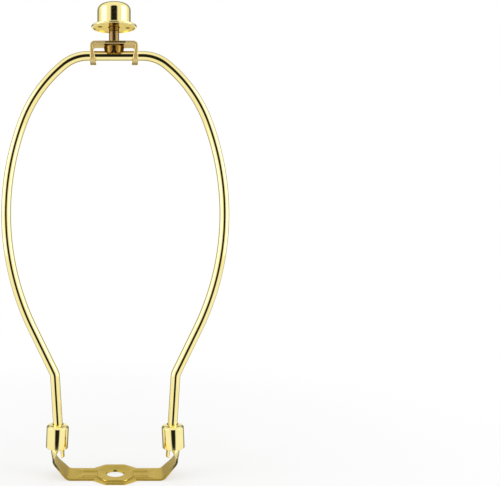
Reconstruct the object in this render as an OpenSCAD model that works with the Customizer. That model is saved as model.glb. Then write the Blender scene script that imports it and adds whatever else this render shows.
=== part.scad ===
// Lamp harp: a bent wire bow that drops into a stamped saddle, with a swivel clip and a cap finial on top.
// Origin at the middle of the saddle's underside, X across the bow, Y front to back, Z up, in millimetres.

/* [Saddle] */
// Thickness of the saddle's sheet
sheet_t = 1.2; // [1:0.1:1.5]
// Width of the flat strip
strip_w = 16; // [14:0.5:18]
// Diameter of the bore for the lamp's threaded pipe
pipe_bore_d = 10.5; // [10:0.1:12]
// Width of the eye around the bore, front to back
eye_w = 27.4; // [25:0.2:31]
// Length of the eye's straight front and back edges
eye_flat = 11.2; // [9:0.2:13]
// Length of the eye from end to end
eye_l = 25; // [22:0.5:28]
// Radius of the eye's corners
eye_corner_r = 4; // [2:0.5:6]
// Height of the eye's raised face at its edge
raise_h = 0.5; // [0.4:0.1:0.8]
// Flat border between the eye's edge and the foot of the raised face
border_w = 1.7; // [1.4:0.1:2.5]
// Run of the sloping wall of the raised face
slope_w = 0.7; // [0.6:0.1:1]
// Width of the raised face's crest, inside of which it dips to the ring around the bore
crest_w = 0.5; // [0.3:0.1:0.8]
// Radius of the ring around the bore that lies level with the strip
ring_r = 6.5; // [6.2:0.1:7]
// Length of the four stiffening ribs, which run out of the raised face
rib_l = 8.2; // [6:0.2:9]
// Distance between the centre lines of a pair of ribs
rib_gap = 8.6; // [7:0.1:10]
// Height of the ribs
rib_h = 0.5; // [0.4:0.1:0.8]
// Radius of the ribs' round back
rib_r = 1.1; // [0.9:0.1:1.3]

/* [Socket arms] */
// Angle of the first slope of an arm from the horizontal
arm_slope = 46; // [40:1:50]
// Radius of the bend at the foot of an arm, on its outside
arm_foot_r = 5; // [4:0.5:7]
// Length of the straight first slope
arm_slope_l = 7; // [5:0.5:9]
// How much the strip narrows on each side along that slope
arm_taper = 1.6; // [0:0.1:2.5]
// Radius of the bend where an arm turns upright, on its outside
arm_turn_r = 12.5; // [11:0.5:15]
// Angle by which the sockets lean inward going up
socket_lean = 2.5; // [1:0.5:4]
// Height of the sockets' rims above the saddle's underside
socket_h = 25.7; // [24:0.1:28]
// Radius of the sockets' rounded back, at half thickness
socket_r = 3.1; // [2.9:0.1:3.3]
// Distance from the wire's centre line to the outside of the socket at its rim
socket_reach = 3.8; // [3.4:0.1:4]
// Clearance between the sockets' lips and the bow's tongues
lip_gap = 0.2; // [0.15:0.05:0.3]

/* [Bow] */
// Diameter of the wire
wire_d = 5.56; // [5:0.02:6]
// Distance between the legs' centre lines at the sockets' rims
leg_gap = 65.2; // [60:0.2:72]
// Angle by which the legs spread going up
leg_lean = 3.5; // [2:0.5:5]
// Length of the straight legs above the sockets
leg_l = 31; // [29:0.5:40]
// Radius of the kink above the legs
kink_r = 7; // [5:0.5:10]
// Angle of the bow's lower sides from the vertical
spread_angle = 26; // [22:1:30]
// Length of the bow's straight lower sides
spread_l = 27.7; // [20:0.5:35]
// Radius of the long side curves
side_r = 150; // [140:1:165]
// Angle at which the side curves run into the shoulders
side_end = 20.7; // [18:0.1:23]
// Radius of the shoulders
shoulder_r = 77; // [70:1:84]
// Angle at which the shoulders run into the top corners
shoulder_end = 50.8; // [47:0.1:54]
// Radius of the top corners
corner_r = 22; // [18:0.5:24]
// Thickness of the half-round tongues that enter the sockets
tongue_t = 2; // [1.6:0.1:2.2]
// Length of the tongues
tongue_l = 15; // [12:0.5:16]

/* [Ferrules] */
// Outer diameter of the ferrules
ferrule_d = 12.8; // [12:0.1:15]
// Height of a ferrule
ferrule_h = 13.4; // [12.5:0.1:16]
// Bore that slides down over socket and tongue
ferrule_bore_d = 10.2; // [10:0.1:10.8]
// Hole in the ferrule's top for the wire
ferrule_hole_d = 6.3; // [6.2:0.05:6.8]
// Thickness of the ferrule's top
ferrule_top_t = 1.2; // [0.8:0.1:2]
// Width of the bevel around the ferrule's top
ferrule_bevel = 1; // [0.6:0.1:1.4]

/* [Clip] */
// Thickness of the clip's strip
clip_t = 1.65; // [1.4:0.05:2]
// Width of the clip across its corners
clip_w = 27.4; // [25:0.1:28]
// Depth of the clip, front to back
clip_d = 12.7; // [11.5:0.1:14]
// Outer radius of the clip's bends
clip_bend_r = 2.8; // [2.5:0.1:3.5]
// Angle by which the outer faces of the clip's ears lean inward going down
ear_lean = 0.5; // [0:0.5:3]
// Width of an ear seen from the front at the wire's middle, where it is swaged wider than the strip
ear_t = 2.6; // [1.8:0.1:3]
// Radius of the ears around the wire
ear_r = 5.2; // [4.5:0.1:5.5]
// How far the clip sits off the middle of the bow
clip_shift = -0.7; // [-1:0.1:1]
// Running clearance around the wire in the clip's ears and the post's saddle
wire_gap = 0.1; // [0.05:0.01:0.1]

/* [Post] */
// Diameter of the threaded post
post_d = 6.35; // [6:0.05:7]
// Length of the thread above the clip
post_l = 12.7; // [11:0.1:14]
// Diameter of the post's head
head_d = 11.6; // [10.5:0.1:12]
// Height of the head
head_h = 5.1; // [4.8:0.1:6]
// How far the head's lobes reach down beside the wire
head_grip = 2.1; // [1.8:0.1:2.4]
// Width of the notch that splits the lobes
notch_w = 3; // [2.4:0.1:3.4]
// Height of the notch
notch_h = 2; // [1.6:0.1:2.4]
// Clearance of the post in the clip and in the threaded insert
post_gap = 0.06; // [0.05:0.01:0.1]

/* [Finial] */
// Distance between the clip and the finial as it is screwed on
ring_gap = 8.5; // [6:0.1:9]
// Diameter of the cap
cap_d = 19.4; // [18:0.1:22]
// Height of the finial
finial_h = 13.9; // [13:0.1:16]
// Radius of the cap's top corner
cap_corner_r = 4; // [3:0.1:5]
// How much the cap's top is domed
cap_dome = 0.5; // [0.3:0.1:0.8]
// Thickness of the drawn sheet
cap_t = 0.4; // [0.35:0.05:0.5]
// Diameter of the flange over its rolled rim
flange_d = 26.3; // [25:0.1:29]
// Thickness of the base disc
disc_t = 0.45; // [0.4:0.05:0.6]
// Width of the rim's lip, rolled in under the disc
lip_w = 1.1; // [0.8:0.1:1.3]
// Clearance between the base disc and the rolled rim
disc_gap = 0.02; // [0.01:0.01:0.05]
// Bore of the base disc around the post
disc_bore_d = 7; // [6.9:0.1:8]
// Diameter of the four holes in the base disc
hole_d = 2.4; // [2:0.1:2.6]
// Radius of the circle that the holes lie on
hole_ring_r = 8; // [7.6:0.1:8.4]
// Angle by which the holes are turned as the finial is screwed on
hole_turn = 9; // [0:1:45]
// Outer diameter of the threaded insert
insert_d = 9.6; // [9:0.1:11]
// Height of the threaded insert
insert_h = 6; // [5:0.1:7]
// Clearance between the insert and the disc under it
insert_gap = 0.05; // [0.02:0.01:0.1]

/* [Hidden] */
round_fn = 64;
// Steps on a rounded corner of an outline
corner_steps = 8;
// How far a cutter runs past what it cuts
past = 1;

wire_r = wire_d / 2;

// Points of an arc around c, from angle a0 to angle a1
function arc(c, r, a0, a1, n) =
    [for (i = [0:n]) let (a = a0 + (a1 - a0) * i / n) c + r * [cos(a), sin(a)]];

// Unit vector along v
function unit(v) = v / norm(v);

// Angle brought between -180 and 180 degrees
function wrap(a) = a - 360 * floor((a + 180) / 360);

// Arc of radius r that rounds the corner b between its neighbours a and c
function fillet(a, b, c, r) =
    let (u = unit(a - b), v = unit(c - b))
    let (half = acos(u * v) / 2, reach = r / tan(half), m = b + unit(u + v) * r / sin(half))
    let (s = b + u * reach - m, e = b + v * reach - m)
    let (a0 = atan2(s[1], s[0]), turn = wrap(atan2(e[1], e[0]) - a0))
    arc(m, r, a0, a0 + turn, corner_steps);

// Closed outline with each corner rounded by its own radius, or kept sharp where that is 0
function rounded(pts, radii) =
    let (n = len(pts))
    [for (i = [0:n - 1]) each radii[i] == 0 ? [pts[i]]
        : fillet(pts[(i + n - 1) % n], pts[i], pts[(i + 1) % n], radii[i])];

// One value for each of n corners
function all_of(value, n) = [for (i = [1:n]) value];

// Outline of the eye, moved inward by d
function eye_outline(d) =
    let (x = eye_l / 2 - d, y = eye_w / 2 - d, f = eye_flat / 2, w = strip_w / 2 - d)
    rounded([[x, w], [f, y], [-f, y], [-x, w], [-x, -w], [-f, -y], [f, -y], [x, -w]],
        all_of(eye_corner_r, 8));

// The raised face of the eye as a solid with sloping walls, from z0 up to z1
module raised_eye(d, z0, z1) {
    hull() {
        translate([0, 0, z0]) linear_extrude(0.01) polygon(eye_outline(d));
        translate([0, 0, z1 - 0.01]) linear_extrude(0.01) polygon(eye_outline(d + slope_w));
    }
}
// What lies over the dip inside the crest, where the ring around the bore is at height z
module over_dip(z) {
    hull() {
        translate([0, 0, z]) cylinder(r = ring_r, h = past, $fn = round_fn);
        translate([0, 0, z + raise_h])
            linear_extrude(past) polygon(eye_outline(border_w + slope_w + crest_w));
    }
}

// A bar with round ends along X, for a rib's back or its hollow
module rib(r, z) {
    translate([0, 0, z]) {
        translate([-rib_l / 2 + r, 0, 0]) rotate([0, 90, 0]) cylinder(r = r, h = rib_l - 2 * r, $fn = 32);
        for (s = [-1, 1]) translate([s * (rib_l / 2 - r), 0, 0]) sphere(r = r, $fn = 32);
    }
}

module at_ribs() {
    for (sx = [-1, 1], sy = [-1, 1])
        translate([sx * (eye_l / 2 - border_w - slope_w / 2 + rib_l / 2), sy * rib_gap / 2, 0]) children();
}

upright = 90 + socket_lean;
// Place of the arm's outside at the socket's rim
socket_x = leg_gap / 2 + socket_reach;
turn_rise = arm_turn_r * (cos(arm_slope) - cos(upright));
turn_run = arm_turn_r * (sin(upright) - sin(arm_slope));
foot_rise = arm_foot_r * (1 - cos(arm_slope));
foot_run = arm_foot_r * sin(arm_slope);
slope_rise = arm_slope_l * sin(arm_slope);
slope_run = arm_slope_l * cos(arm_slope);
turn_z = foot_rise + slope_rise + turn_rise;
upright_rise = socket_h - turn_z;
bend_x = socket_x + upright_rise * tan(socket_lean) - turn_run - slope_run - foot_run;
// Places on the arm are [x, z, angle from the horizontal], along the middle of the strip's outside.
// Each stretch is followed from f = 0 at its lower end to f = 1 at its upper end.
function foot_place(f) =
    let (a = arm_slope * f)
    [bend_x + arm_foot_r * sin(a), arm_foot_r * (1 - cos(a)), a];
function slope_place(f) = [bend_x + foot_run + slope_run * f, foot_rise + slope_rise * f, arm_slope];
function turn_place(f) =
    let (a = arm_slope + (upright - arm_slope) * f)
    [bend_x + foot_run + slope_run + arm_turn_r * (sin(a) - sin(arm_slope)),
        foot_rise + slope_rise + arm_turn_r * (cos(arm_slope) - cos(a)), a];
function upright_place(f) =
    [socket_x + upright_rise * (1 - f) * tan(socket_lean), turn_z + upright_rise * f, upright];
// Steps on each stretch
foot_steps = 5;
slope_steps = 3;
turn_steps = 8;
upright_steps = 6;
// The last place is turned level, so that the rim is flat
arm_path = concat(
    [[bend_x - past, 0, 0]],
    [for (i = [0:foot_steps]) foot_place(i / foot_steps)],
    [for (i = [1:slope_steps]) slope_place(i / slope_steps)],
    [for (i = [1:turn_steps]) turn_place(i / turn_steps)],
    [for (i = [1:upright_steps - 1]) upright_place(i / upright_steps)],
    [[socket_x, socket_h, 90]]
);

// Length along the strip that is rolled into a quarter of the socket's round back
quarter = socket_r * PI / 2;
// Shares of the upright bend and of the upright at which the strip starts to curl and is a full socket
curl_start = 0.2;
curl_end = 0.42;
curl_z0 = foot_rise + slope_rise + turn_rise * curl_start;
curl_z1 = turn_z + upright_rise * curl_end;
function smooth(f) = let (g = min(max(f, 0), 1)) g * g * (3 - 2 * g);
// Angle through which the strip's sides are curled at height z
function curl(z) = 90 * smooth((z - curl_z0) / (curl_z1 - curl_z0));
// Where the tongue's flat face lies at height z
function tongue_x(z) = leg_gap / 2 + (z - socket_h) * tan(leg_lean) - (wire_r - tongue_t);
// Depth of the lips, from the socket's outside to just short of the tongue
function lip_depth(p) = p[0] - tongue_x(p[1]) - lip_gap;
// Half width of the strip, laid flat, at a place on the path
function half_width(p) =
    let (f = smooth((p[1] - curl_z0) / (curl_z1 - curl_z0)))
    let (flat = strip_w / 2 - arm_taper * smooth((p[1] - foot_rise) / slope_rise))
    (1 - f) * flat + f * (quarter + lip_depth(p) - socket_r - sheet_t / 2);
// Places across the strip, as shares of the rolled quarter and then of the lip
quarter_steps = 6;
// A point on the strip's section: side -1 or 1, s along the strip from its middle, off from its outside
function section_point(phi, s, off) =
    let (lie = min(s, quarter), lip = max(s - quarter, 0))
    let (k = phi * PI / 180 / quarter, a = phi * lie / quarter)
    let (across = phi < 0.01 ? s : sin(a) / k + lip * cos(phi))
    let (inward = phi < 0.01 ? 0 : (1 - cos(a)) / k + lip * sin(phi))
    [across - (off - sheet_t / 2) * sin(a), inward + sheet_t / 2 + (off - sheet_t / 2) * cos(a)];
function side_points(p, side, off) =
    let (w = half_width(p), phi = curl(p[1]), q = min(quarter, w))
    [for (i = [0:quarter_steps + 1])
        let (s = i <= quarter_steps ? q * i / quarter_steps : w, b = section_point(phi, s, off))
        [p[0] - b[1] * sin(p[2]), side * b[0], p[1] + b[1] * cos(p[2])]];
function backward(list) = [for (i = [len(list) - 1:-1:0]) list[i]];
function tail(list) = [for (i = [1:len(list) - 1]) list[i]];
// One closed ring around the strip: the outside from one edge to the other, then the inside back
function ring(p) = concat(
    backward(side_points(p, -1, 0)), tail(side_points(p, 1, 0)),
    backward(side_points(p, 1, sheet_t)), tail(side_points(p, -1, sheet_t)));

// One arm of the saddle, from the flat strip through its bends to the rolled socket
module arm() {
    rings = [for (p = arm_path) ring(p)];
    m = len(rings);
    n = len(rings[0]);
    faces = concat(
        [for (i = [0:m - 2], j = [0:n - 1]) let (k = (j + 1) % n) each
            [[i * n + j, (i + 1) * n + j, (i + 1) * n + k], [i * n + j, (i + 1) * n + k, i * n + k]]],
        [for (j = [0:n / 2 - 2]) each [[j, j + 1, n - 1 - j], [j + 1, n - 2 - j, n - 1 - j]]],
        [for (j = [0:n / 2 - 2]) let (b = (m - 1) * n) each
            [[b + j, b + n - 1 - j, b + j + 1], [b + j + 1, b + n - 1 - j, b + n - 2 - j]]]);
    polyhedron(points = [for (r = rings) each r], faces = faces, convexity = 6);
}

module saddle() {
    color([0.72, 0.6, 0.25]) {
        difference() {
            union() {
                linear_extrude(sheet_t) polygon(eye_outline(0));
                translate([-bend_x + past / 2, -strip_w / 2, 0])
                    cube([2 * bend_x - past, strip_w, sheet_t]);
                difference() {
                    raised_eye(border_w, 0, sheet_t + raise_h);
                    over_dip(sheet_t);
                }
                at_ribs() rib(rib_r, sheet_t + rib_h - rib_r);
            }
            difference() {
                raised_eye(border_w + sheet_t / 2, -slope_w / 10, raise_h);
                over_dip(0);
            }
            at_ribs() rib(rib_h, 0);
            translate([-leg_gap, -eye_w, -eye_w]) cube([2 * leg_gap, 2 * eye_w, eye_w]);
            translate([0, 0, -past])
                cylinder(d = pipe_bore_d, h = sheet_t + raise_h + 2 * past, $fn = round_fn);
        }
        arm();
        mirror([1, 0, 0]) arm();
    }
}

// The right half of the bow as a chain of stretches: ["line", length] or ["arc", radius, end angle]
bow_chain = [["line", leg_l], ["arc", kink_r, spread_angle], ["line", spread_l], ["arc", side_r, -side_end],
    ["arc", shoulder_r, -shoulder_end], ["arc", corner_r, -90]];
// Where a stretch ends when it starts at p = [x, z, angle from the vertical, outward]
function stretch_end(p, s) = s[0] == "line"
    ? [p[0] + s[1] * sin(p[2]), p[1] + s[1] * cos(p[2]), p[2]]
    : let (g = sign(s[2] - p[2]))
      [p[0] + g * s[1] * (cos(p[2]) - cos(s[2])), p[1] - g * s[1] * (sin(p[2]) - sin(s[2])), s[2]];
function bow_places(p, i) = i == len(bow_chain) ? [p]
    : concat([p], bow_places(stretch_end(p, bow_chain[i]), i + 1));
places = bow_places([leg_gap / 2, socket_h, leg_lean], 0);
top_half = places[len(bow_chain)][0];
wire_z = places[len(bow_chain)][1];
// Clearance between a leg's shoulder and the socket's rim under it
seat_gap = 0.02;
// A band this much wider than the wire covers each seam, so that the stretches fuse
seam_over = 0.1;

// One stretch of the wire, from its place p
module stretch(p, s) {
    if (s[0] == "line")
        translate([p[0], 0, p[1]]) rotate([0, p[2], 0]) cylinder(d = wire_d, h = s[1], $fn = round_fn);
    else {
        g = sign(s[2] - p[2]);
        translate([p[0] + g * s[1] * cos(p[2]), 0, p[1] - g * s[1] * sin(p[2])])
            rotate([90, 0, 0]) rotate([0, 0, g < 0 ? -p[2] : 180 - s[2]])
            rotate_extrude(angle = abs(s[2] - p[2]), $fn = 4 * round_fn)
            translate([s[1], 0]) circle(d = wire_d, $fn = round_fn);
    }
}

// A leg: full wire above the socket's rim, and a half-round tongue below it
module leg() {
    difference() {
        translate([places[0][0], 0, socket_h]) rotate([0, leg_lean, 0]) translate([0, 0, -tongue_l])
            cylinder(d = wire_d, h = tongue_l + leg_l, $fn = round_fn);
        intersection() {
            translate([places[0][0], 0, socket_h]) rotate([0, leg_lean, 0])
                translate([tongue_t - wire_r, -wire_d, -2 * tongue_l])
                cube([wire_d, 2 * wire_d, 3 * tongue_l]);
            translate([0, -wire_d, socket_h - 2 * tongue_l])
                cube([leg_gap, 2 * wire_d, 2 * tongue_l + seat_gap]);
        }
    }
}

module half_bow() {
    leg();
    for (i = [1:len(bow_chain) - 1]) stretch(places[i], bow_chain[i]);
    for (p = tail(places))
        translate([p[0], 0, p[1]]) rotate([0, p[2], 0])
            cylinder(d = wire_d + seam_over, h = wire_r / 8, center = true, $fn = round_fn);
}

module bow() {
    color([0.95, 0.82, 0.4]) {
        half_bow();
        mirror([1, 0, 0]) half_bow();
        translate([-top_half, 0, wire_z]) rotate([0, 90, 0])
            cylinder(d = wire_d, h = 2 * top_half, $fn = round_fn);
    }
}

// The ferrule's axis crosses the wire's at this height, in its top hole, and leans with the socket
hole_rise = 3.6;
hole_z = socket_h + hole_rise;
function ferrule_axis_x(z) =
    leg_gap / 2 + hole_rise * tan(leg_lean) + (hole_z - z) * tan(socket_lean);
// How far a corner of the curled strip at place p lies from the ferrule's axis
function corner_reach(p) = let (b = section_point(curl(p[1]), half_width(p), 0))
    norm([p[0] - b[1] * sin(p[2]) - ferrule_axis_x(p[1]), b[0]]);
// Height of the strip's corner at place p
function corner_z(p) = p[1] + section_point(curl(p[1]), half_width(p), 0)[1] * cos(p[2]);
// Place on the arm's upright bend, f = 0 to 1, and on the upright above it, f = 1 to 2
function upper_place(f) = f < 1 ? turn_place(f) : upright_place(f - 1);
// Play left between the flaring strip and the ferrule's bore where the ferrule comes to rest
stop_gap = 0.1;
// The place at which the flaring strip fills the ferrule's bore, found by halving the stretch from lo to hi
function stop_place(lo, hi, n) = let (mid = (lo + hi) / 2) n == 0 ? mid
    : corner_reach(upper_place(mid)) > ferrule_bore_d / 2 - stop_gap ? stop_place(mid, hi, n - 1)
    : stop_place(lo, mid, n - 1);
ferrule_z = corner_z(upper_place(stop_place(0, 2, 16)));

// A turned sleeve with a bevelled top, standing on its open end
module ferrule() {
    r = ferrule_d / 2;
    edge = 0.3;
    rotate_extrude($fn = round_fn) polygon([
        [ferrule_bore_d / 2, 0], [r - edge, 0], [r, edge], [r, ferrule_h - 1.6 * ferrule_bevel],
        [r - ferrule_bevel, ferrule_h - 0.6 * ferrule_bevel], [ferrule_hole_d / 2, ferrule_h],
        [ferrule_hole_d / 2, ferrule_h - ferrule_top_t],
        [ferrule_bore_d / 2, ferrule_h - ferrule_top_t - edge]]);
}
module place_ferrule() {
    translate([ferrule_axis_x(ferrule_z), 0, ferrule_z]) rotate([0, -socket_lean, 0]) ferrule();
}
module ferrule_right() { color([0.95, 0.82, 0.4]) place_ferrule(); }
module ferrule_left() { color([0.95, 0.82, 0.4]) mirror([1, 0, 0]) place_ferrule(); }

// The clip's heights, worked up from the wire
head_z = wire_z + wire_r - head_grip;
plate_z = head_z + head_h;
clip_top = plate_z + clip_t;
ear_bottom = wire_z - ear_r;

// The clip's outline seen from the front: a flat plate with an ear bent down at each end
module clip_front() {
    drop = clip_top - ear_bottom + past;
    in = drop * tan(ear_lean);
    w = clip_w / 2;
    // Places of the inner corner and of the ear's inner face at its bottom
    wi = w - clip_t * (1 + tan(ear_lean));
    swell = (ear_t - clip_t) * (drop - clip_t) / (clip_top - clip_t - wire_z);
    wb = w - in - clip_t - swell;
    r = clip_bend_r;
    polygon(rounded(
        [[-w + in, -drop], [-w, 0], [w, 0], [w - in, -drop],
            [wb, -drop], [wi, -clip_t], [-wi, -clip_t], [-wb, -drop]],
        [0, r, r, 0, 0, r - clip_t, r - clip_t, 0]));
}
// The clip's outline seen from the side: full depth at the plate, a round ear below
module clip_side() {
    shoulder = wire_z + ear_r - 1;
    polygon(concat(
        [[clip_d / 2, clip_top + past], [-clip_d / 2, clip_top + past], [-clip_d / 2, shoulder]],
        arc([0, wire_z], ear_r, 180, 360, 2 * corner_steps),
        [[clip_d / 2, shoulder]]));
}
module clip() {
    color([0.8, 0.68, 0.4]) translate([clip_shift, 0, 0]) difference() {
        intersection() {
            translate([0, clip_d / 2, clip_top]) rotate([90, 0, 0]) linear_extrude(clip_d) clip_front();
            translate([-clip_w, 0, 0]) rotate([90, 0, 90]) linear_extrude(2 * clip_w) clip_side();
        }
        translate([-clip_w, 0, wire_z]) rotate([0, 90, 0])
            cylinder(r = wire_r + wire_gap, h = 2 * clip_w, $fn = round_fn);
        translate([0, 0, plate_z - past])
            cylinder(r = post_d / 2 + post_gap, h = clip_t + 2 * past, $fn = round_fn);
    }
}

// The post: a thread above the plate, and a notched head that straddles the wire below it
module stud() {
    r = head_d / 2;
    top = head_h + clip_t + post_l;
    tip = 0.5;
    waist = r * 0.87;
    // Half widths of the notch at its mouth and at its top
    mouth = notch_w * 0.7;
    apex = notch_w * 0.2;
    // Height at which the head's taper ends, and the radius of its edges
    taper_h = head_h * 0.72;
    edge = 0.9;
    shape = rounded([[0, 0], [waist, 0], [r, taper_h], [r, head_h], [0, head_h]], [0, edge, 1.2, edge, 0]);
    color([0.62, 0.45, 0.28]) translate([clip_shift, 0, head_z]) difference() {
        union() {
            rotate_extrude($fn = round_fn) polygon(shape);
            cylinder(d = post_d, h = top - tip, $fn = round_fn);
            translate([0, 0, top - tip])
                cylinder(d1 = post_d, d2 = post_d - 2 * tip, h = tip, $fn = round_fn);
        }
        translate([-head_d, 0, wire_z - head_z]) rotate([0, 90, 0])
            cylinder(r = wire_r + wire_gap, h = 2 * head_d, $fn = round_fn);
        translate([0, head_d, 0]) rotate([90, 0, 0]) linear_extrude(2 * head_d)
            polygon(rounded([[-mouth, -past], [-mouth, 0], [-apex, notch_h], [apex, notch_h], [mouth, 0],
                [mouth, -past]], [0, 0, 0.5, 0.5, 0, 0]));
    }
}

finial_z = clip_top + ring_gap;
disc_z = cap_t + disc_gap;
disc_top = disc_z + disc_t;
// Radius inside the rolled rim
rim_in_r = flange_d / 2 - cap_t;

// The drawn cap: a domed cup with a flange whose rim is rolled in under the disc
module finial_cap() {
    r = cap_d / 2;
    f = flange_d / 2;
    flange_top = disc_top + disc_gap + cap_t;
    // Where the dome starts to fall away, and how far down it is there
    crown_r = r * 0.6;
    crown_drop = cap_dome * 0.3;
    edge = 0.5;
    outside = rounded(
        [[0, finial_h], [crown_r, finial_h - crown_drop], [r, finial_h - cap_dome], [r, flange_top],
            [f, flange_top], [f, 0], [f - lip_w, 0]],
        [0, 0, cap_corner_r, edge, edge, edge, 0]);
    inside = rounded(
        [[f - lip_w, cap_t], [rim_in_r, cap_t], [rim_in_r, disc_top + disc_gap],
            [r - cap_t, disc_top + disc_gap], [r - cap_t, finial_h - cap_dome - cap_t],
            [crown_r, finial_h - crown_drop - cap_t], [0, finial_h - cap_t]],
        [0, 0, 0, 0, cap_corner_r - cap_t, 0, 0]);
    color([0.95, 0.82, 0.4]) translate([clip_shift, 0, finial_z])
        rotate_extrude($fn = round_fn) polygon(concat(outside, inside));
}

// The disc that closes the cap, with its four small holes
module finial_base() {
    color([0.9, 0.78, 0.42]) translate([clip_shift, 0, finial_z + disc_z]) difference() {
        cylinder(r = rim_in_r - disc_gap, h = disc_t, $fn = round_fn);
        translate([0, 0, -past]) cylinder(d = disc_bore_d, h = disc_t + 2 * past, $fn = round_fn);
        for (a = [0:90:270]) rotate([0, 0, a + hole_turn]) translate([hole_ring_r, 0, -past])
            cylinder(d = hole_d, h = disc_t + 2 * past, $fn = 32);
    }
}

// The threaded insert inside the cap, standing on the disc
module finial_insert() {
    chamfer = 0.6;
    r = insert_d / 2;
    bore = post_d / 2 + post_gap;
    color([0.62, 0.45, 0.28]) translate([clip_shift, 0, finial_z + disc_top + insert_gap])
        rotate_extrude($fn = round_fn)
        polygon([[bore, 0], [r, 0], [r, insert_h - chamfer], [r - chamfer, insert_h], [bore, insert_h]]);
}

saddle();
bow();
ferrule_left();
ferrule_right();
clip();
stud();
finial_cap();
finial_base();
finial_insert();
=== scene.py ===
# Looks of a brass lamp harp: bent wire, turned ferrules and finial, stamped saddle and clip.
# Lengths are in millimetres in the values below and become metres where a mesh is made.
import math

import bmesh
import bpy
from mathutils import Matrix, Vector


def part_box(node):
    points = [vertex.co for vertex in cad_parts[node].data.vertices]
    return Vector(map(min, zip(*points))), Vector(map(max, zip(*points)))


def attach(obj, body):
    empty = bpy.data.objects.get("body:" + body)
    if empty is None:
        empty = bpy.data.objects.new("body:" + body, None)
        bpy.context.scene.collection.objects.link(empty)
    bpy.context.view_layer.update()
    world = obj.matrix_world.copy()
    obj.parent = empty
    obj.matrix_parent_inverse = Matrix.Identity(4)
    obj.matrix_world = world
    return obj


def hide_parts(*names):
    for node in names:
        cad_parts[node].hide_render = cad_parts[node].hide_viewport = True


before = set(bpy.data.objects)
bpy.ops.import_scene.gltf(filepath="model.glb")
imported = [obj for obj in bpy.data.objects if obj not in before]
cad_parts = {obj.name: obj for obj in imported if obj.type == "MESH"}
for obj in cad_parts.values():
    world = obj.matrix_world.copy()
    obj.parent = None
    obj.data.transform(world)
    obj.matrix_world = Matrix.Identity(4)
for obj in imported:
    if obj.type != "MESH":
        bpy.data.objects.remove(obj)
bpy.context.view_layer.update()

MM = 0.001

# Wire, with the stretches of its right half from the foot up: a line's length, or an arc's radius and end angle
WIRE_R = 2.774
LEG_GAP = 65.2
LEG_LEAN = 3.5
SOCKET_H = 25.7
STRETCHES = [
    ("line", 31.0), ("arc", 7.0, 26.0), ("line", 27.7),
    ("arc", 150.0, -20.7), ("arc", 77.0, -50.8), ("arc", 22.0, -90.0),
]
WIRE_SIDES = 64
TONGUE_T = 2.0
TONGUE_L = 15.0

# Ferrules
FERRULE_R = 6.4
FERRULE_H = 13.4
FERRULE_BORE_R = 5.1
FERRULE_HOLE_R = 3.15
FERRULE_TOP_T = 1.2
FERRULE_BEVEL = 1.0
SOCKET_LEAN = 2.5

# Post and its thread
POST_R = 3.175
POST_TIP = 0.5
THREAD_DEPTH = 0.52
THREAD_PITCH = 0.9407
THREAD_FOOT_Z = 247.0
THREAD_FADE = 0.08

# Finial
CAP_R = 9.7
CAP_T = 0.4
CAP_CORNER_R = 4.0
CAP_DOME = 0.5
FLANGE_R = 13.15
LIP_W = 1.1
DISC_T = 0.45
DISC_GAP = 0.02
FINIAL_X = -0.7
HOLE_R = 1.2
HOLE_RING_R = 8.0
HOLE_TURN = 9.0

TURNED_SIDES = 128

# Shaded cards, which only reflections see: their level by the angle from straight in front, or from straight
# behind, in degrees
CARD_DISTANCE = 6.0
CARD_MIDDLE_Z = 0.15
FRONT_LEVELS = [(0, 0.012), (19, 0.015), (27, 1.0), (30, 1.0)]
BACK_LEVELS = [(0, 1.0), (12, 0.95), (20, 0.72), (28, 0.2), (46, 0.25), (57, 0.68), (66, 1.0)]
CARD_RISE = 0.02
CARD_SHAPE = 0.585


def arc(centre, radius, start, end, steps):
    """Points of an arc around centre, in degrees."""
    turns = [math.radians(start + (end - start) * i / steps) for i in range(steps + 1)]
    return [(centre[0] + radius * math.cos(a), centre[1] + radius * math.sin(a)) for a in turns]


def rounded(points, radii, steps=8, closed=True):
    """An outline with each corner rounded by its own radius, or kept sharp where that is 0."""
    out = []
    count = len(points)
    for i, (point, radius) in enumerate(zip(points, radii)):
        at_end = not closed and i in (0, count - 1)
        if radius == 0 or at_end:
            out.append(tuple(point))
            continue
        here = Vector(point)
        u = (Vector(points[i - 1]) - here).normalized()
        v = (Vector(points[(i + 1) % count]) - here).normalized()
        half = u.angle(v) / 2
        middle = here + (u + v).normalized() * radius / math.sin(half)
        first = here + u * radius / math.tan(half) - middle
        last = here + v * radius / math.tan(half) - middle
        start = math.degrees(math.atan2(first.y, first.x))
        turn = math.degrees(math.atan2(last.y, last.x)) - start
        turn -= 360 * math.floor((turn + 180) / 360)
        out += arc(middle, radius, start, start + turn, steps)
    return out


def piece_from(name, mesh, material, sharp_angle=32):
    """An object for a finished mesh, smooth but for its sharp edges."""
    for face in mesh.polygons:
        face.use_smooth = True
    mesh.set_sharp_from_angle(angle=math.radians(sharp_angle))
    mesh.materials.clear()
    mesh.materials.append(material)
    made = bpy.data.objects.new(name, mesh)
    bpy.context.scene.collection.objects.link(made)
    return made


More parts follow.
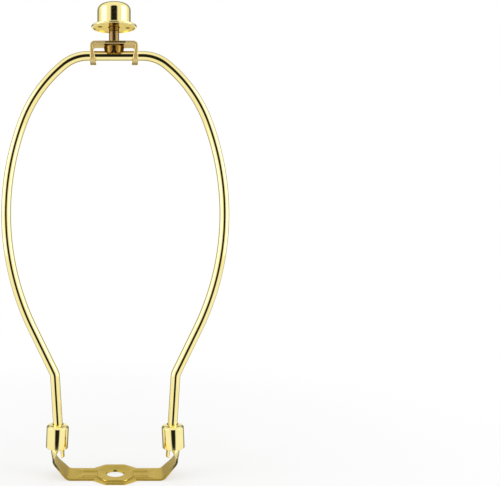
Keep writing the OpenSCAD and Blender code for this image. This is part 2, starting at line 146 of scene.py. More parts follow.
def turned_mesh(name, outline, sides=TURNED_SIDES):
    """A closed outline of (radius, height) turned around Z. Points on the axis become one point."""
    shape = bmesh.new()
    rings = []
    for r, z in outline:
        if r < 1e-6:
            rings.append([shape.verts.new((0, 0, z * MM))])
            continue
        turns = [2 * math.pi * k / sides for k in range(sides)]
        rings.append([shape.verts.new((r * MM * math.cos(a), r * MM * math.sin(a), z * MM)) for a in turns])
    for i, ring in enumerate(rings):
        above = rings[(i + 1) % len(rings)]
        if len(ring) == 1 and len(above) == 1:
            continue
        for k in range(sides):
            m = (k + 1) % sides
            corners = [ring[k % len(ring)], ring[m % len(ring)], above[m % len(above)], above[k % len(above)]]
            unique = list(dict.fromkeys(corners))
            shape.faces.new(unique)
    bmesh.ops.recalc_face_normals(shape, faces=shape.faces)
    mesh = bpy.data.meshes.new(name)
    shape.to_mesh(mesh)
    shape.free()
    return mesh


def merged_copy(node):
    """The mesh of a CAD node with its loose triangles joined."""
    shape = bmesh.new()
    shape.from_mesh(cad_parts[node].data)
    bmesh.ops.remove_doubles(shape, verts=shape.verts, dist=0.0005 * MM)
    mesh = bpy.data.meshes.new(node + "_copy")
    shape.to_mesh(mesh)
    shape.free()
    return mesh


# Shader node groups

def new_group(name, inputs, outputs):
    """A shader node group with named float inputs (name, default) and outputs."""
    group = bpy.data.node_groups.new(name, "ShaderNodeTree")
    for label, value in inputs:
        socket = group.interface.new_socket(label, in_out="INPUT", socket_type="NodeSocketFloat")
        socket.default_value = value
    for label in outputs:
        group.interface.new_socket(label, in_out="OUTPUT", socket_type="NodeSocketFloat")
    return group, group.nodes.new("NodeGroupInput"), group.nodes.new("NodeGroupOutput")


def math_node(tree, operation, first, second=None, clamp=False):
    """A Math node, whose inputs are sockets or numbers. Gives its output."""
    node = tree.nodes.new("ShaderNodeMath")
    node.operation = operation
    node.use_clamp = clamp
    for socket, value in zip(node.inputs, (first, second)):
        if value is None:
            continue
        if isinstance(value, (int, float)):
            socket.default_value = value
        else:
            tree.links.new(value, socket)
    return node.outputs[0]


def noise_node(tree, vector, scale, detail=4.0, roughness=0.55):
    node = tree.nodes.new("ShaderNodeTexNoise")
    node.inputs["Detail"].default_value = detail
    node.inputs["Roughness"].default_value = roughness
    tree.links.new(vector, node.inputs["Vector"])
    if isinstance(scale, (int, float)):
        node.inputs["Scale"].default_value = scale
    else:
        tree.links.new(scale, node.inputs["Scale"])
    return node.outputs["Fac"]


def ramp_node(tree, value, stops):
    """A level for a value from 0 to 1, smoothly joined between (place, level) stops. Levels go up to 2."""
    node = tree.nodes.new("ShaderNodeValToRGB")
    ramp = node.color_ramp
    while len(ramp.elements) < len(stops):
        ramp.elements.new(0.5)
    for element, (place, level) in zip(ramp.elements, stops):
        element.position = place
        element.color = (level / 2, level / 2, level / 2, 1)
    tree.links.new(value, node.inputs["Fac"])
    return math_node(tree, "MULTIPLY", node.outputs["Color"], 2)


def slope_node(tree, value, low, high):
    """Rises from 0 to 1 as the value goes from low to high."""
    node = tree.nodes.new("ShaderNodeMapRange")
    node.interpolation_type = "SMOOTHSTEP"
    node.inputs["From Min"].default_value = low
    node.inputs["From Max"].default_value = high
    tree.links.new(value, node.inputs["Value"])
    return node.outputs["Result"]


def tarnish_group():
    """Soft cloudy patches, as handling and air leave on brass."""
    group, start, end = new_group("tarnish", [("Scale", 60.0), ("Contrast", 2.5)], ["Mask"])
    place = group.nodes.new("ShaderNodeTexCoord").outputs["Object"]
    cloud = noise_node(group, place, start.outputs["Scale"], 5.0, 0.6)
    centred = math_node(group, "SUBTRACT", cloud, 0.5)
    stronger = math_node(group, "MULTIPLY", centred, start.outputs["Contrast"])
    mask = math_node(group, "ADD", stronger, 0.5, clamp=True)
    group.links.new(mask, end.inputs["Mask"])
    return group


def scratches_group():
    """Fine scratches that run roughly one way, from noise stretched along an axis."""
    group, start, end = new_group(
        "scratches", [("Scale", 400.0), ("Stretch X", 1.0), ("Stretch Y", 1.0), ("Stretch Z", 0.05)], ["Height"])
    place = group.nodes.new("ShaderNodeTexCoord").outputs["Object"]
    stretch = group.nodes.new("ShaderNodeCombineXYZ")
    for axis in "XYZ":
        group.links.new(start.outputs["Stretch " + axis], stretch.inputs[axis])
    scaled = group.nodes.new("ShaderNodeVectorMath")
    scaled.operation = "MULTIPLY"
    group.links.new(place, scaled.inputs[0])
    group.links.new(stretch.outputs[0], scaled.inputs[1])
    lines = noise_node(group, scaled.outputs[0], start.outputs["Scale"], 3.0, 0.7)
    group.links.new(lines, end.inputs["Height"])
    return group


TARNISH = tarnish_group()
SCRATCHES = scratches_group()


def brass_material(name, bright, deep, roughness, spread, grain, stretch, bump, cloud_scale=60.0):
    """Brass with cloudy colour and roughness and a fine grain. Roughness runs from roughness to roughness + spread."""
    material = bpy.data.materials.new(name)
    material.use_nodes = True
    tree = material.node_tree
    shader = tree.nodes["Principled BSDF"]
    shader.inputs["Metallic"].default_value = 1.0
    cloud = tree.nodes.new("ShaderNodeGroup")
    cloud.node_tree = TARNISH
    cloud.inputs["Scale"].default_value = cloud_scale
    lines = tree.nodes.new("ShaderNodeGroup")
    lines.node_tree = SCRATCHES
    lines.inputs["Scale"].default_value = grain
    for axis, value in zip("XYZ", stretch):
        lines.inputs["Stretch " + axis].default_value = value
    colour = tree.nodes.new("ShaderNodeMix")
    colour.data_type = "RGBA"
    colour.inputs["A"].default_value = (*bright, 1)
    colour.inputs["B"].default_value = (*deep, 1)
    tree.links.new(cloud.outputs["Mask"], colour.inputs["Factor"])
    tree.links.new(colour.outputs["Result"], shader.inputs["Base Color"])
    both = math_node(tree, "MULTIPLY", cloud.outputs["Mask"], lines.outputs["Height"])
    share = math_node(tree, "MULTIPLY", both, spread * 2)
    rough = math_node(tree, "ADD", share, roughness)
    tree.links.new(rough, shader.inputs["Roughness"])
    relief = tree.nodes.new("ShaderNodeBump")
    relief.inputs["Strength"].default_value = bump
    relief.inputs["Distance"].default_value = 0.02 * MM
    tree.links.new(lines.outputs["Height"], relief.inputs["Height"])
    tree.links.new(relief.outputs["Normal"], shader.inputs["Normal"])
    return material


def burnished(material, low, high, share):
    """Makes a finish smoother above a height, where the metal was rolled: its roughness falls to a share."""
    tree = material.node_tree
    shader = tree.nodes["Principled BSDF"]
    rough = shader.inputs["Roughness"].links[0].from_socket
    split = tree.nodes.new("ShaderNodeSeparateXYZ")
    tree.links.new(tree.nodes.new("ShaderNodeTexCoord").outputs["Object"], split.inputs[0])
    up = slope_node(tree, split.outputs["Z"], low * MM, high * MM)
    less = math_node(tree, "MULTIPLY", up, 1 - share)
    tree.links.new(math_node(tree, "MULTIPLY", rough, math_node(tree, "SUBTRACT", 1, less)), shader.inputs["Roughness"])


def sheared_edges(material, roughness, axis, inner):
    """Rougher metal on the faces that the punch sheared, which look to the front or the back.

    Along an axis it starts past the inner distance."""
    tree = material.node_tree
    shader = tree.nodes["Principled BSDF"]
    rough = shader.inputs["Roughness"].links[0].from_socket
    split = tree.nodes.new("ShaderNodeSeparateXYZ")
    tree.links.new(tree.nodes.new("ShaderNodeTexCoord").outputs["Normal"], split.inputs[0])
    facing = slope_node(tree, math_node(tree, "ABSOLUTE", split.outputs["Y"]), 0.75, 0.95)
    split = tree.nodes.new("ShaderNodeSeparateXYZ")
    tree.links.new(tree.nodes.new("ShaderNodeTexCoord").outputs["Object"], split.inputs[0])
    rolled = slope_node(tree, math_node(tree, "ABSOLUTE", split.outputs["X"]), 29 * MM, 31 * MM)
    facing = math_node(tree, "MULTIPLY", facing, math_node(tree, "SUBTRACT", 1, rolled))
    outside = slope_node(tree, math_node(tree, "ABSOLUTE", split.outputs[axis]), inner * MM, (inner + 0.3) * MM)
    facing = math_node(tree, "MULTIPLY", facing, outside)
    least = math_node(tree, "MULTIPLY", facing, roughness)
    tree.links.new(math_node(tree, "MAXIMUM", rough, least), shader.inputs["Roughness"])


def painted_thread_root_shade(material, axis_x, root, crest, colour):
    """Paints shade into a thread: darkens it towards its roots, in its grooves, by the distance from its axis."""
    tree = material.node_tree
    shader = tree.nodes["Principled BSDF"]
    plain = shader.inputs["Base Color"].links[0].from_socket
    place = tree.nodes.new("ShaderNodeMapping")
    place.inputs["Location"].default_value = (-axis_x * MM, 0, 0)
    place.inputs["Scale"].default_value = (1, 1, 0)
    tree.links.new(tree.nodes.new("ShaderNodeTexCoord").outputs["Object"], place.inputs["Vector"])
    length = tree.nodes.new("ShaderNodeVectorMath")
    length.operation = "LENGTH"
    tree.links.new(place.outputs[0], length.inputs[0])
    mix = tree.nodes.new("ShaderNodeMix")
    mix.data_type = "RGBA"
    mix.inputs["A"].default_value = (*colour, 1)
    tree.links.new(slope_node(tree, length.outputs["Value"], root * MM, crest * MM), mix.inputs["Factor"])
    tree.links.new(plain, mix.inputs["B"])
    tree.links.new(mix.outputs["Result"], shader.inputs["Base Color"])


def painted_hole_shade(material):
    """Paints shade on the walls and rims of the four punched holes in the base disc, darkening them."""
    tree = material.node_tree
    shader = tree.nodes["Principled BSDF"]
    plain = shader.inputs["Base Color"].links[0].from_socket
    place = tree.nodes.new("ShaderNodeMapping")
    place.vector_type = "TEXTURE"
    place.inputs["Location"].default_value = (FINIAL_X * MM, 0, 0)
    place.inputs["Rotation"].default_value = (0, 0, math.radians(HOLE_TURN))
    tree.links.new(tree.nodes.new("ShaderNodeTexCoord").outputs["Object"], place.inputs["Vector"])
    split = tree.nodes.new("ShaderNodeSeparateXYZ")
    tree.links.new(place.outputs[0], split.inputs[0])
    across = math_node(tree, "ABSOLUTE", split.outputs["X"])
    along = math_node(tree, "ABSOLUTE", split.outputs["Y"])
    near = math_node(tree, "MINIMUM", across, along)
    far = math_node(tree, "SUBTRACT", math_node(tree, "MAXIMUM", across, along), HOLE_RING_R * MM)
    squares = math_node(tree, "ADD", math_node(tree, "MULTIPLY", near, near), math_node(tree, "MULTIPLY", far, far))
    clear = slope_node(tree, math_node(tree, "SQRT", squares), (HOLE_R + 0.05) * MM, (HOLE_R + 0.3) * MM)
    mix = tree.nodes.new("ShaderNodeMix")
    mix.data_type = "RGBA"
    mix.inputs["A"].default_value = (0.12, 0.05, 0.015, 1)
    tree.links.new(clear, mix.inputs["Factor"])
    tree.links.new(plain, mix.inputs["B"])
    tree.links.new(mix.outputs["Result"], shader.inputs["Base Color"])


def darker_below(material, low, high, colour):
    """Gives the metal below a height a deeper colour: painted shade on the post's head under the clip's plate, and a
    deeper colour on the saddle's flat strip.
    """
    tree = material.node_tree
    shader = tree.nodes["Principled BSDF"]
    plain = shader.inputs["Base Color"].links[0].from_socket
    split = tree.nodes.new("ShaderNodeSeparateXYZ")
    tree.links.new(tree.nodes.new("ShaderNodeTexCoord").outputs["Object"], split.inputs[0])
    mix = tree.nodes.new("ShaderNodeMix")
    mix.data_type = "RGBA"
    mix.inputs["A"].default_value = (*colour, 1)
    tree.links.new(slope_node(tree, split.outputs["Z"], low * MM, high * MM), mix.inputs["Factor"])
    tree.links.new(plain, mix.inputs["B"])
    tree.links.new(mix.outputs["Result"], shader.inputs["Base Color"])


POLISHED = brass_material(
    "polished_brass", (0.98, 0.87, 0.42), (0.94, 0.8, 0.33), 0.05, 0.05, 700, (1, 1, 0.06), 0.05)
SATIN = brass_material(
    "satin_brass", (0.84, 0.74, 0.36), (0.76, 0.64, 0.27), 0.23, 0.1, 900, (0.05, 1, 1), 0.15, 90)
SATIN.node_tree.nodes["Principled BSDF"].inputs["Specular Tint"].default_value = (1, 0.93, 0.72, 1)
burnished(SATIN, 9, 15, 0.5)
darker_below(SATIN, 3, 16, (0.57, 0.41, 0.075))
sheared_edges(SATIN, 0.55, "Y", 5.3)
CLIP = brass_material(
    "clip_brass", (0.74, 0.58, 0.25), (0.6, 0.44, 0.17), 0.22, 0.1, 500, (0.1, 1, 1), 0.04, 110)
CLIP.node_tree.nodes["Principled BSDF"].inputs["Specular Tint"].default_value = (0.8, 0.7, 0.5, 1)
sheared_edges(CLIP, 0.6, "X", 5.6)
BASE = brass_material("base_brass", (0.9, 0.75, 0.33), (0.84, 0.68, 0.27), 0.2, 0.08, 600, (1, 1, 1), 0.05, 120)
BASE.node_tree.nodes["Principled BSDF"].inputs["Specular Tint"].default_value = (0.85, 0.74, 0.42, 1)
# Painted shade in and around the base disc's holes
painted_hole_shade(BASE)
POST = brass_material("post_brass", (0.58, 0.4, 0.17), (0.44, 0.27, 0.1), 0.16, 0.1, 500, (1, 1, 0.4), 0.08, 100)
# Painted shade in the post thread's grooves
painted_thread_root_shade(POST, -0.7, 2.75, 3.12, (0.1, 0.05, 0.012))
# Painted shade on the post's head, under the clip's plate
darker_below(POST, 246.4, 247.2, (0.29, 0.17, 0.035))


# The bow

def half_path():
    """The right half of the wire's centre line, from its foot to the middle of the top, as (x, z)."""
    x, z, lean = LEG_GAP / 2, SOCKET_H, math.radians(LEG_LEAN)
    points = [(x, z)]
    for stretch in STRETCHES:
        if stretch[0] == "line":
            steps = 8
            for i in range(1, steps + 1):
                run = stretch[1] * i / steps
                points.append((x + run * math.sin(lean), z + run * math.cos(lean)))
        else:
            radius, last = stretch[1], math.radians(stretch[2])
            way = 1 if last > lean else -1
            steps = max(10, round(abs(last - lean) * radius / 1.5))
            for i in range(1, steps + 1):
                a = lean + (last - lean) * i / steps
                points.append((x + way * radius * (math.cos(lean) - math.cos(a)),
                               z - way * radius * (math.sin(lean) - math.sin(a))))
            lean = last
        x, z = points[-1]
    return points


def wire_tree(material):
    """Geometry Nodes that sweep a round wire along a curve."""
    tree = bpy.data.node_groups.new("sweep_wire", "GeometryNodeTree")
    face = tree.interface
    face.new_socket("Geometry", in_out="INPUT", socket_type="NodeSocketGeometry")
    radius = face.new_socket("Wire Radius", in_out="INPUT", socket_type="NodeSocketFloat")
    sides = face.new_socket("Sides", in_out="INPUT", socket_type="NodeSocketInt")
    face.new_socket("Geometry", in_out="OUTPUT", socket_type="NodeSocketGeometry")
    start, end = tree.nodes.new("NodeGroupInput"), tree.nodes.new("NodeGroupOutput")
    section = tree.nodes.new("GeometryNodeCurvePrimitiveCircle")
    sweep = tree.nodes.new("GeometryNodeCurveToMesh")
    sweep.inputs["Fill Caps"].default_value = True
    realize = tree.nodes.new("GeometryNodeRealizeInstances")
    paint = tree.nodes.new("GeometryNodeSetMaterial")
    paint.inputs["Material"].default_value = material
    link = tree.links.new
    link(start.outputs["Sides"], section.inputs["Resolution"])
    link(start.outputs["Wire Radius"], section.inputs["Radius"])
    link(start.outputs["Geometry"], sweep.inputs["Curve"])
    link(section.outputs["Curve"], sweep.inputs["Profile Curve"])
    link(sweep.outputs["Mesh"], realize.inputs["Geometry"])
    link(realize.outputs["Geometry"], paint.inputs["Geometry"])
    link(paint.outputs["Geometry"], end.inputs["Geometry"])
    return tree, radius.identifier, sides.identifier


def swept_wire(name, points, radius, sides, material):
    """A plain mesh of a round wire along points, in metres."""
    curve = bpy.data.curves.new(name + "_path", "CURVE")
    curve.dimensions = "3D"
    line = curve.splines.new("POLY")
    line.points.add(len(points) - 1)
    for point, place in zip(line.points, points):
        point.co = (*place, 1)
    holder = bpy.data.objects.new(name + "_path", curve)
    bpy.context.scene.collection.objects.link(holder)
    tree, radius_id, sides_id = wire_tree(material)
    modifier = holder.modifiers.new("sweep", "NODES")
    modifier.node_group = tree
    modifier[radius_id] = radius
    modifier[sides_id] = sides
    bpy.context.view_layer.update()
    graph = bpy.context.evaluated_depsgraph_get()
    mesh = bpy.data.meshes.new_from_object(holder.evaluated_get(graph))
    holder.modifiers.clear()
    bpy.data.objects.remove(holder)
    return mesh


def add_tongue(shape, side):
    """The half-round tongue under a leg, as a closed form added to a bmesh."""
    lean = math.radians(LEG_LEAN)
    cut = TONGUE_T - WIRE_R
    half = math.degrees(math.acos(cut / WIRE_R))
    section = rounded(arc((0, 0), WIRE_R, half, 360 - half, 28), [0.25] + [0] * 27 + [0.25], 3)
    chamfer = 0.35
    levels = [(0.6, 1.0), (-TONGUE_L + chamfer, 1.0), (-TONGUE_L, 1 - chamfer / TONGUE_T)]
    middle = Vector((cut - TONGUE_T / 2, 0))
    rings = []
    for along, share in levels:
        ring = []
        for u, v in section:
            p = middle + (Vector((u, v)) - middle) * share
            x = LEG_GAP / 2 + p.x * math.cos(lean) + along * math.sin(lean)
            z = SOCKET_H - p.x * math.sin(lean) + along * math.cos(lean)
            ring.append(shape.verts.new((side * x * MM, p.y * MM, z * MM)))
        rings.append(ring)
    count = len(section)
    for low, high in zip(rings, rings[1:]):
        for k in range(count):
            m = (k + 1) % count
            shape.faces.new([low[k], low[m], high[m], high[k]])
    shape.faces.new(rings[0])
    shape.faces.new(rings[-1])


def bow():
    half = half_path()
    right = [(x * MM, 0, z * MM) for x, z in half]
    left = [(-x * MM, 0, z * MM) for x, z in reversed(half)]
    mesh = swept_wire("bow_wire", right + left, WIRE_R * MM, WIRE_SIDES, POLISHED)
    shape = bmesh.new()
    shape.from_mesh(mesh)
    for side in (1, -1):
        add_tongue(shape, side)
    bmesh.ops.recalc_face_normals(shape, faces=shape.faces)
    shape.to_mesh(mesh)
    shape.free()
    made = piece_from("bow_wire", mesh, POLISHED)
    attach(made, "bow")
    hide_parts("bow")


# Ferrules

def ferrule(side, node):
    """One turned ferrule, standing where its CAD node stands and leaning inward with its socket."""
    outline = rounded(
        [(FERRULE_BORE_R, 0), (FERRULE_R, 0), (FERRULE_R, FERRULE_H - 1.6 * FERRULE_BEVEL),
         (FERRULE_R - FERRULE_BEVEL, FERRULE_H - 0.6 * FERRULE_BEVEL), (FERRULE_HOLE_R, FERRULE_H),
         (FERRULE_HOLE_R, FERRULE_H - FERRULE_TOP_T), (FERRULE_BORE_R, FERRULE_H - FERRULE_TOP_T - 0.3)],
        [0.12, 0.3, 0.18, 0.18, 0.15, 0.1, 0], 4)
    mesh = turned_mesh(node + "_turned", outline)
    low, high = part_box(node)
    lean = math.radians(SOCKET_LEAN)
    top_x = FERRULE_H * MM * math.sin(lean)
    # The open end's middle: the box reaches from the leaning top's inner edge to the open end's outer edge
    outer = high.x if side > 0 else -low.x
    foot_x = outer - FERRULE_R * MM * math.cos(lean)
    foot_z = low.z + FERRULE_R * MM * math.sin(lean)
    mesh.transform(Matrix.Translation((side * foot_x, 0, foot_z)) @ Matrix.Rotation(-side * lean, 4, "Y"))
    made = piece_from(node + "_turned", mesh, POLISHED, 20)
    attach(made, node)
    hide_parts(node)


# Stamped pieces

def stamped(node, material, body, bevel, sharp_angle=28):
    """A stamped piece: the CAD node's joined mesh with its edges rounded over."""
    mesh = merged_copy(node)
    made = piece_from(node + "_stamped", mesh, material, sharp_angle)
    if bevel:
        edges = made.modifiers.new("edges", "BEVEL")
        edges.width = bevel * MM
        edges.segments = 2
        edges.limit_method = "ANGLE"
        edges.angle_limit = math.radians(sharp_angle)
        edges.harden_normals = False
    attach(made, body)
    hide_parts(node)
    return made


# Threaded post

def thread_tree(material):
    """Geometry Nodes that wind a V-shaped ridge up a post, fading into it at both ends."""
    tree = bpy.data.node_groups.new("wind_thread", "GeometryNodeTree")
    face = tree.interface
    face.new_socket("Geometry", in_out="INPUT", socket_type="NodeSocketGeometry")
    names = ("Crest Radius", "Ridge Height", "Pitch", "Height", "Fade")
    ids = {name: face.new_socket(name, in_out="INPUT", socket_type="NodeSocketFloat").identifier for name in names}
    face.new_socket("Geometry", in_out="OUTPUT", socket_type="NodeSocketGeometry")
    start, end = tree.nodes.new("NodeGroupInput"), tree.nodes.new("NodeGroupOutput")
    link = tree.links.new
    value = start.outputs
    # A three-sided ring of radius 2/3 of the ridge's height, its corner outward
    ring_r = math_node(tree, "MULTIPLY", value["Ridge Height"], 2 / 3)
    coil_r = math_node(tree, "SUBTRACT", value["Crest Radius"], ring_r)
    coil = tree.nodes.new("GeometryNodeCurveSpiral")
    coil.inputs["Resolution"].default_value = 48
    link(math_node(tree, "DIVIDE", value["Height"], value["Pitch"]), coil.inputs["Rotations"])
    link(coil_r, coil.inputs["Start Radius"])
    link(coil_r, coil.inputs["End Radius"])
    link(value["Height"], coil.inputs["Height"])
    upright = tree.nodes.new("GeometryNodeSetCurveNormal")
    upright.mode = "Z_UP"
    link(coil.outputs["Curve"], upright.inputs["Curve"])
    along = tree.nodes.new("GeometryNodeSplineParameter").outputs["Factor"]
    from_end = math_node(tree, "MINIMUM", along, math_node(tree, "SUBTRACT", 1, along))
    share = math_node(tree, "DIVIDE", from_end, value["Fade"], clamp=True)
    section = tree.nodes.new("GeometryNodeCurvePrimitiveCircle")
    section.inputs["Resolution"].default_value = 3
    link(ring_r, section.inputs["Radius"])
    sweep = tree.nodes.new("GeometryNodeCurveToMesh")
    sweep.inputs["Fill Caps"].default_value = True
    link(upright.outputs["Curve"], sweep.inputs["Curve"])
    link(section.outputs["Curve"], sweep.inputs["Profile Curve"])
    link(share, sweep.inputs["Scale"])
    realize = tree.nodes.new("GeometryNodeRealizeInstances")
    paint = tree.nodes.new("GeometryNodeSetMaterial")
    paint.inputs["Material"].default_value = material
    link(sweep.outputs["Mesh"], realize.inputs["Geometry"])
    link(realize.outputs["Geometry"], paint.inputs["Geometry"])
    link(paint.outputs["Geometry"], end.inputs["Geometry"])
    return tree, ids


def threaded_post(node):
    """The CAD node's head and the plain foot of its post, then a core with its thread wound on."""
    low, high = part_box(node)
    middle_x = (low.x + high.x) / 2
    top = high.z / MM
    holder = bpy.data.objects.new("thread_path", bpy.data.meshes.new("thread_path"))
    bpy.context.scene.collection.objects.link(holder)
    tree, ids = thread_tree(POST)
    modifier = holder.modifiers.new("wind", "NODES")
    modifier.node_group = tree
    ridge_top = top - POST_TIP * 0.6
    sizes = {
        "Crest Radius": POST_R * MM, "Ridge Height": THREAD_DEPTH * 1.4 * MM, "Pitch": THREAD_PITCH * MM,
        "Height": (ridge_top - THREAD_FOOT_Z) * MM, "Fade": THREAD_FADE,
    }
    for name, size in sizes.items():
        modifier[ids[name]] = size
    bpy.context.view_layer.update()
    graph = bpy.context.evaluated_depsgraph_get()
    ridge = bpy.data.meshes.new_from_object(holder.evaluated_get(graph))
    holder.modifiers.clear()
    bpy.data.objects.remove(holder)
    ridge.transform(Matrix.Translation((0, 0, THREAD_FOOT_Z * MM)))
    core_r = POST_R - THREAD_DEPTH
    core = turned_mesh("post_core", rounded(
        [(0, THREAD_FOOT_Z - 1), (core_r, THREAD_FOOT_Z - 1), (core_r, top - POST_TIP * 0.5),
         (core_r - POST_TIP, top), (0, top)], [0, 0, 0.1, 0.15, 0], 3, closed=False), 64)
    place = Matrix.Translation((middle_x, 0, 0))
    shape = bmesh.new()
    shape.from_mesh(merged_copy(node))
    everything = list(shape.verts) + list(shape.edges) + list(shape.faces)
    bmesh.ops.bisect_plane(shape, geom=everything, plane_co=(0, 0, THREAD_FOOT_Z * MM), plane_no=(0, 0, 1),
                           dist=1e-7, clear_outer=True)
    rim = [edge for edge in shape.edges if edge.is_boundary]
    bmesh.ops.contextual_create(shape, geom=rim)
    for part in (core, ridge):
        part.transform(place)
        shape.from_mesh(part)
    bmesh.ops.recalc_face_normals(shape, faces=shape.faces)
    mesh = bpy.data.meshes.new("threaded_post")
    shape.to_mesh(mesh)
    shape.free()
    made = piece_from("threaded_post", mesh, POST, 25)
    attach(made, "clip")
    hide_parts(node)


# Finial

def finial_cap():
    low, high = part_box("finial_cap")
    height = (high.z - low.z) / MM
    middle_x = (low.x + high.x) / 2
    flange_top = CAP_T * 2 + DISC_T + 2 * DISC_GAP
    crown_r, crown_drop = CAP_R * 0.6, CAP_DOME * 0.3
    outside = rounded(
        [(0, height), (crown_r, height - crown_drop), (CAP_R, height - CAP_DOME), (CAP_R, flange_top),
         (FLANGE_R, flange_top), (FLANGE_R, 0), (FLANGE_R - LIP_W, 0)],
        [0, 12, CAP_CORNER_R, 0.5, 0.5, 0.5, 0.1], 10, closed=False)
    inside = rounded(
        [(FLANGE_R - LIP_W, CAP_T), (FLANGE_R - CAP_T, CAP_T), (FLANGE_R - CAP_T, flange_top - CAP_T),
         (CAP_R - CAP_T, flange_top - CAP_T), (CAP_R - CAP_T, height - CAP_DOME - CAP_T),
         (crown_r, height - crown_drop - CAP_T), (0, height - CAP_T)],
        [0, 0, 0, 0, CAP_CORNER_R - CAP_T, 12, 0], 10, closed=False)
    mesh = turned_mesh("finial_cap_drawn", outside + inside)
    mesh.transform(Matrix.Translation((middle_x, 0, low.z)))
    made = piece_from("finial_cap_drawn", mesh, POLISHED, 40)
    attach(made, "finial")
    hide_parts("finial_cap")


# Stage

def blank_tree(tree):
    tree.nodes.clear()
    return tree


def floor():
    """A white floor that keeps the shadow near the object and runs into the white background further off."""
    size = 4.0
    mesh = bpy.data.meshes.new("floor")
    mesh.from_pydata([(-size, -size, 0), (size, -size, 0), (size, size, 0), (-size, size, 0)], [], [(0, 1, 2, 3)])
    made = bpy.data.objects.new("floor", mesh)
    bpy.context.scene.collection.objects.link(made)
    material = bpy.data.materials.new("white_floor")
    material.use_nodes = True
    tree = blank_tree(material.node_tree)
    out = tree.nodes.new("ShaderNodeOutputMaterial")
    mix = tree.nodes.new("ShaderNodeMixShader")
    matt = tree.nodes.new("ShaderNodeBsdfDiffuse")
    matt.inputs["Color"].default_value = (0.9, 0.9, 0.9, 1)
    glow = tree.nodes.new("ShaderNodeEmission")
    path = tree.nodes.new("ShaderNodeLightPath")
    seen = math_node(tree, "MAXIMUM", path.outputs["Is Camera Ray"], path.outputs["Is Glossy Ray"])
    seen = math_node(tree, "MAXIMUM", seen, path.outputs["Is Transmission Ray"])
    place = tree.nodes.new("ShaderNodeTexCoord").outputs["Object"]
    length = tree.nodes.new("ShaderNodeVectorMath")
    length.operation = "LENGTH"
    tree.links.new(place, length.inputs[0])
    far = tree.nodes.new("ShaderNodeMapRange")
    far.inputs["From Min"].default_value = 0.08
    far.inputs["From Max"].default_value = 0.3
    far.inputs["To Min"].default_value = 0.55
    far.inputs["To Max"].default_value = 1.0
    tree.links.new(length.outputs["Value"], far.inputs["Value"])
    share = math_node(tree, "MULTIPLY", seen, far.outputs["Result"])
    tree.links.new(share, mix.inputs["Fac"])
    tree.links.new(matt.outputs[0], mix.inputs[1])
    tree.links.new(glow.outputs[0], mix.inputs[2])
    tree.links.new(mix.outputs[0], out.inputs["Surface"])
    mesh.materials.append(material)
    # The metal mirrors the white and the cards below the horizon too, as over a narrow shelf
    made.visible_glossy = False


def studio_world():
    """White to the camera and in reflections, and a plain level for the light on matt surfaces."""
    world = bpy.data.worlds.new("studio")
    bpy.context.scene.world = world
    world.use_nodes = True
    tree = blank_tree(world.node_tree)
    out = tree.nodes.new("ShaderNodeOutputWorld")
    path = tree.nodes.new("ShaderNodeLightPath")
    white = tree.nodes.new("ShaderNodeBackground")
    white.inputs["Strength"].default_value = 1.0
    plain = tree.nodes.new("ShaderNodeBackground")
    plain.inputs["Strength"].default_value = 0.85
    for lit in (white, plain):
        lit.inputs["Color"].default_value = (1, 1, 1, 1)
    seen = math_node(tree, "MAXIMUM", path.outputs["Is Camera Ray"], path.outputs["Is Glossy Ray"])
    seen = math_node(tree, "MAXIMUM", seen, path.outputs["Is Transmission Ray"])
    mix = tree.nodes.new("ShaderNodeMixShader")
    tree.links.new(seen, mix.inputs["Fac"])
    tree.links.new(plain.outputs[0], mix.inputs[1])
    tree.links.new(white.outputs[0], mix.inputs[2])
    tree.links.new(mix.outputs[0], out.inputs["Surface"])


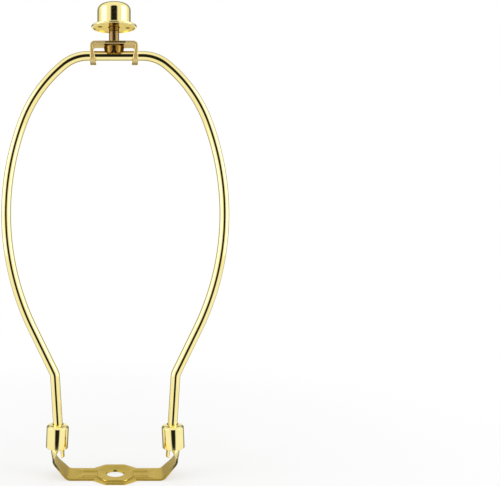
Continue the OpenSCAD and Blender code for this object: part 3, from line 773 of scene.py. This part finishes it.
def shaded_card(name, side, levels):
    """A card in front of the object (side -1) or behind it (side 1) that shades the white in its reflections."""
    half_w = CARD_DISTANCE * math.tan(math.radians(levels[-1][0]))
    half_h = half_w / CARD_SHAPE
    middle_z = CARD_MIDDLE_Z + CARD_RISE * CARD_DISTANCE
    y = side * CARD_DISTANCE
    mesh = bpy.data.meshes.new(name)
    mesh.from_pydata([(-half_w, y, middle_z - half_h), (half_w, y, middle_z - half_h),
                      (half_w, y, middle_z + half_h), (-half_w, y, middle_z + half_h)], [], [(0, 1, 2, 3)])
    made = bpy.data.objects.new(name, mesh)
    bpy.context.scene.collection.objects.link(made)
    material = bpy.data.materials.new(name)
    material.use_nodes = True
    material.cycles.emission_sampling = "NONE"
    tree = blank_tree(material.node_tree)
    out = tree.nodes.new("ShaderNodeOutputMaterial")
    split = tree.nodes.new("ShaderNodeSeparateXYZ")
    tree.links.new(tree.nodes.new("ShaderNodeTexCoord").outputs["Object"], split.inputs[0])
    across = math_node(tree, "ABSOLUTE", split.outputs["X"])
    raised = math_node(tree, "ABSOLUTE", math_node(tree, "SUBTRACT", split.outputs["Z"], middle_z))
    raised = math_node(tree, "MULTIPLY", raised, CARD_SHAPE)
    off = math_node(tree, "ADD", math_node(tree, "POWER", across, 4), math_node(tree, "POWER", raised, 4))
    off = math_node(tree, "POWER", off, 0.25)
    angle = math_node(tree, "ARCTANGENT", math_node(tree, "DIVIDE", off, CARD_DISTANCE))
    share = math_node(tree, "DIVIDE", angle, math.pi / 2)
    glow = tree.nodes.new("ShaderNodeEmission")
    tree.links.new(ramp_node(tree, share, [(place / 90, level) for place, level in levels]), glow.inputs["Strength"])
    tree.links.new(glow.outputs[0], out.inputs["Surface"])
    mesh.materials.append(material)
    made.visible_camera = False
    made.visible_diffuse = False
    made.visible_transmission = False
    made.visible_shadow = False


def softbox(name, place, aim, width, height, power):
    light = bpy.data.lights.new(name, "AREA")
    light.shape = "RECTANGLE"
    light.size, light.size_y = width, height
    light.energy = power
    made = bpy.data.objects.new(name, light)
    made.location = place
    made.rotation_euler = (Vector(aim) - Vector(place)).to_track_quat("-Z", "Y").to_euler()
    bpy.context.scene.collection.objects.link(made)


def camera():
    """Level, 400 mm in front of the bow, with the frame shifted so that the harp keeps its place at the left."""
    picture_w, picture_h = 500, 486
    focal_px = 698
    axis_px = Vector((115.25, 203))
    data = bpy.data.cameras.new("camera")
    data.sensor_width = 36
    data.lens = focal_px / picture_w * data.sensor_width
    data.shift_x = (picture_w / 2 - axis_px.x) / picture_w
    data.shift_y = (axis_px.y - picture_h / 2) / picture_w
    data.clip_start = 0.01
    made = bpy.data.objects.new("camera", data)
    made.location = (0, -400 * MM, 156.1 * MM)
    made.rotation_euler = (math.radians(90), 0, 0)
    bpy.context.scene.collection.objects.link(made)
    bpy.context.scene.camera = made


camera()
floor()
studio_world()
shaded_card("front_card", -1, FRONT_LEVELS)
shaded_card("back_card", 1, BACK_LEVELS)
softbox("softbox_left", (-0.75, -0.25, 0.35), (0, 0, 0.14), 0.5, 0.8, 1.9)
softbox("softbox_right", (0.75, -0.25, 0.35), (0, 0, 0.14), 0.5, 0.8, 1.9)

bow()
ferrule(1, "ferrule_right")
ferrule(-1, "ferrule_left")
stamped("saddle", SATIN, "saddle", 0.2)
stamped("clip", CLIP, "clip", 0.35)
threaded_post("stud")
finial_cap()
stamped("finial_base", BASE, "finial", 0)
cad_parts["finial_insert"].data.materials.clear()
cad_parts["finial_insert"].data.materials.append(POST)

bpy.context.scene.view_settings.view_transform = "Standard"
